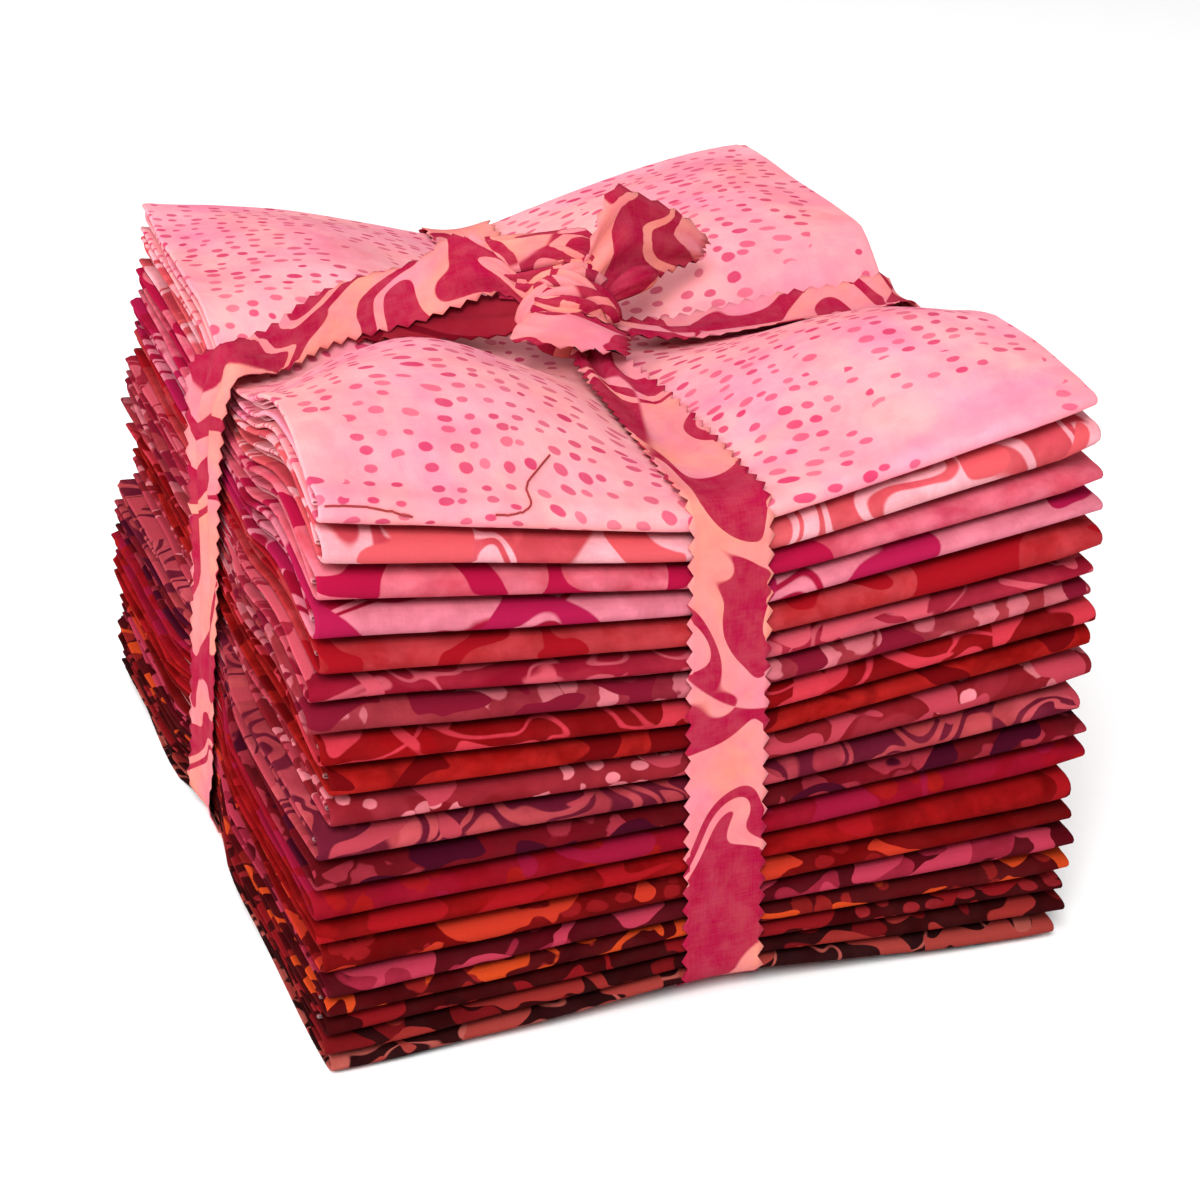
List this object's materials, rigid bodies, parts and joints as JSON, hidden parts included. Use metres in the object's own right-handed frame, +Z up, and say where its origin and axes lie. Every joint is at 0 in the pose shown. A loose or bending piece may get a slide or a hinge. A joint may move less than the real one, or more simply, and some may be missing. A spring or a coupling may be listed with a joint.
{
  "type": "fat quarter bundle",
  "caption": "Stack of folded quilting cotton quarters in pinks and reds, tied both ways with a pinked strip of the same cloth.",
  "frame": {"origin": "centre of the bounding box in plan, at the plane the bundle rests on", "axes": "+Z up the stack, -Y towards the side with the round folds, +X to the right seen from that side"},
  "size_m": [0.1643, 0.1886, 0.1393],
  "materials": {
    "quarter_01": "printed cotton, soft and matt",
    "quarter_02": "printed cotton, soft and matt",
    "quarter_03": "printed cotton, soft and matt",
    "quarter_04": "printed cotton, soft and matt",
    "quarter_05": "printed cotton, soft and matt",
    "quarter_06": "printed cotton, soft and matt",
    "quarter_07": "printed cotton, soft and matt",
    "quarter_08": "printed cotton, soft and matt",
    "quarter_09": "printed cotton, soft and matt",
    "quarter_10": "printed cotton, soft and matt",
    "quarter_11": "printed cotton, soft and matt",
    "quarter_12": "printed cotton, soft and matt",
    "quarter_13": "printed cotton, soft and matt",
    "quarter_14": "printed cotton, soft and matt",
    "quarter_15": "printed cotton, soft and matt",
    "quarter_16": "printed cotton, soft and matt",
    "quarter_17": "printed cotton, soft and matt",
    "quarter_18": "printed cotton, soft and matt",
    "quarter_19": "printed cotton, soft and matt",
    "quarter_20": "printed cotton, soft and matt",
    "tie_strip": "printed cotton, soft and matt, pinked edges"
  },
  "bodies": {
    "root": {"quarter_01": "quarter_01", "quarter_02": "quarter_02", "quarter_03": "quarter_03", "quarter_04": "quarter_04", "quarter_05": "quarter_05", "quarter_06": "quarter_06", "quarter_07": "quarter_07", "quarter_08": "quarter_08", "quarter_09": "quarter_09", "quarter_10": "quarter_10", "quarter_11": "quarter_11", "quarter_12": "quarter_12", "quarter_13": "quarter_13", "quarter_14": "quarter_14", "quarter_15": "quarter_15", "quarter_16": "quarter_16", "quarter_17": "quarter_17", "quarter_18": "quarter_18", "quarter_19": "quarter_19", "quarter_20": "quarter_20", "tie_strip": "tie_strip"}
  },
  "joints": []
}
